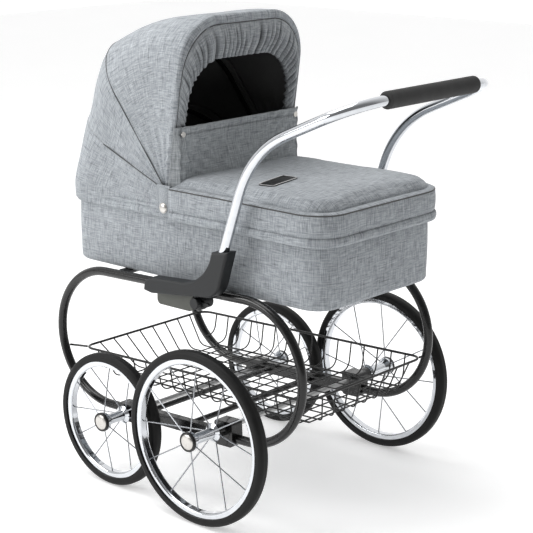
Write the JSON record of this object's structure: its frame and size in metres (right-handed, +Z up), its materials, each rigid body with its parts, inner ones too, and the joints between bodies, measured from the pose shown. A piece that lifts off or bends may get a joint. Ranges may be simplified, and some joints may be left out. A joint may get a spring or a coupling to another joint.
{
  "type": "doll pram stroller",
  "caption": "Carriage pram with a lined bassinet, folding hood, apron and wind flap on a hooped tube chassis with spoked wheels, wire basket and push handle.",
  "frame": {"origin": "on the floor, under the middle of the overall box", "axes": "+Z up, +Y towards the pusher at the handle end, +X to the pram's left side"},
  "size_m": [0.546, 0.713, 0.8244],
  "materials": {
    "frame_black": "gloss black enamel",
    "wire_black": "satin black coated wire",
    "axle_steel": "turned steel",
    "black_plastic": "satin moulded plastic",
    "grey_plastic": "satin moulded plastic",
    "chrome": "polished chrome",
    "tyre": "smooth solid rubber",
    "foam_grip": "matt foam",
    "linen": "grey melange linen weave",
    "mattress_cover": "cotton",
    "board": "hardboard",
    "bow_steel": "spring steel strip",
    "stud": "nickel-plated snap",
    "patch": "blank woven patch"
  },
  "bodies": {
    "chassis": {"front_hoop_left": "frame_black", "rear_hoop_left": "frame_black", "lower_beam_left": "frame_black", "basket_side_left": "wire_black", "front_hoop_right": "frame_black", "rear_hoop_right": "frame_black", "lower_beam_right": "frame_black", "basket_side_right": "wire_black", "basket_floor": "wire_black", "basket_front_end": "wire_black", "basket_rear_end": "wire_black", "basket_supports": "frame_black", "front_axle": "axle_steel", "rear_axle": "axle_steel", "axle_blocks": "black_plastic", "carrier_bars": "frame_black", "support_brackets": "grey_plastic", "pivot_pins": "black_plastic"},
    "handle": {"handle_tube": "chrome", "handle_grip": "foam_grip", "casting_left": "black_plastic", "casting_right": "black_plastic"},
    "lever_left": {"lock_lever_left": "black_plastic"},
    "lever_right": {"lock_lever_right": "black_plastic"},
    "wheel_front_left": {"front_tyre_left": "tyre", "front_rim_left": "chrome", "front_spokes_left": "chrome", "front_hub_left": "chrome", "front_hub_cap_left": "chrome"},
    "wheel_front_right": {"front_tyre_right": "tyre", "front_rim_right": "chrome", "front_spokes_right": "chrome", "front_hub_right": "chrome", "front_hub_cap_right": "chrome"},
    "wheel_rear_left": {"rear_tyre_left": "tyre", "rear_rim_left": "chrome", "rear_spokes_left": "chrome", "rear_hub_left": "chrome", "rear_hub_cap_left": "chrome"},
    "wheel_rear_right": {"rear_tyre_right": "tyre", "rear_rim_right": "chrome", "rear_spokes_right": "chrome", "rear_hub_right": "chrome", "rear_hub_cap_right": "chrome"},
    "bassinet": {"bassinet_shell": "linen", "floor_board": "board", "mattress": "mattress_cover", "rim_roll": "linen", "hood_pivot_studs": "stud", "rear_bow": "bow_steel", "canopy_rear": "linen"},
    "hood_middle": {"middle_bow": "bow_steel", "canopy_middle": "linen"},
    "hood_front": {"front_bow": "bow_steel", "canopy_front": "linen", "hood_visor": "linen"},
    "apron": {"apron": "linen", "badge_patch": "patch"},
    "flap": {"wind_flap": "linen", "flap_studs": "stud"}
  },
  "joints": [
    {"name": "front_left_wheel_spin", "type": "hinge", "parent": "chassis", "child": "wheel_front_left", "pos_m": [0, -0.174, 0.1195], "axis": [1, 0, 0], "continuous": true},
    {"name": "front_right_wheel_spin", "type": "hinge", "parent": "chassis", "child": "wheel_front_right", "pos_m": [0, -0.174, 0.1195], "axis": [1, 0, 0], "continuous": true},
    {"name": "rear_left_wheel_spin", "type": "hinge", "parent": "chassis", "child": "wheel_rear_left", "pos_m": [0, 0.064, 0.15], "axis": [1, 0, 0], "continuous": true},
    {"name": "rear_right_wheel_spin", "type": "hinge", "parent": "chassis", "child": "wheel_rear_right", "pos_m": [0, 0.064, 0.15], "axis": [1, 0, 0], "continuous": true},
    {"name": "handle_fold", "type": "hinge", "parent": "chassis", "child": "handle", "pos_m": [0, 0.015, 0.361], "axis": [1, 0, 0], "range_deg": [-60, 0]},
    {"name": "lock_lever_left_turn", "type": "hinge", "parent": "handle", "child": "lever_left", "pos_m": [0, 0.015, 0.361], "axis": [1, 0, 0], "range_deg": [-90, 0]},
    {"name": "lock_lever_right_turn", "type": "hinge", "parent": "handle", "child": "lever_right", "pos_m": [0, 0.015, 0.361], "axis": [1, 0, 0], "range_deg": [-90, 0]},
    {"name": "bassinet_lift", "type": "slide", "parent": "chassis", "child": "bassinet", "axis": [0, 0, 1], "range_m": [0, 0.12]},
    {"name": "hood_fold", "type": "hinge", "parent": "bassinet", "child": "hood_middle", "pos_m": [0, -0.087, 0.503], "axis": [1, 0, 0], "range_deg": [0, 19.5], "deforming": ["canopy_middle"]},
    {"name": "hood_front_fold", "type": "hinge", "parent": "hood_middle", "child": "hood_front", "pos_m": [0, -0.087, 0.503], "axis": [1, 0, 0], "range_deg": [0, 37], "deforming": ["canopy_front"]},
    {"name": "apron_open", "type": "hinge", "parent": "bassinet", "child": "apron", "pos_m": [0, 0.262, 0.487], "axis": [1, 0, 0], "range_deg": [-60, 0]},
    {"name": "flap_fold", "type": "hinge", "parent": "apron", "child": "flap", "pos_m": [0, -0.06, 0.5505], "axis": [1, 0, 0], "range_deg": [-88, 0]}
  ],
  "couplings": [
    {"joint": "hood_front_fold", "follows": "hood_fold", "ratio": 1.8872}
  ]
}
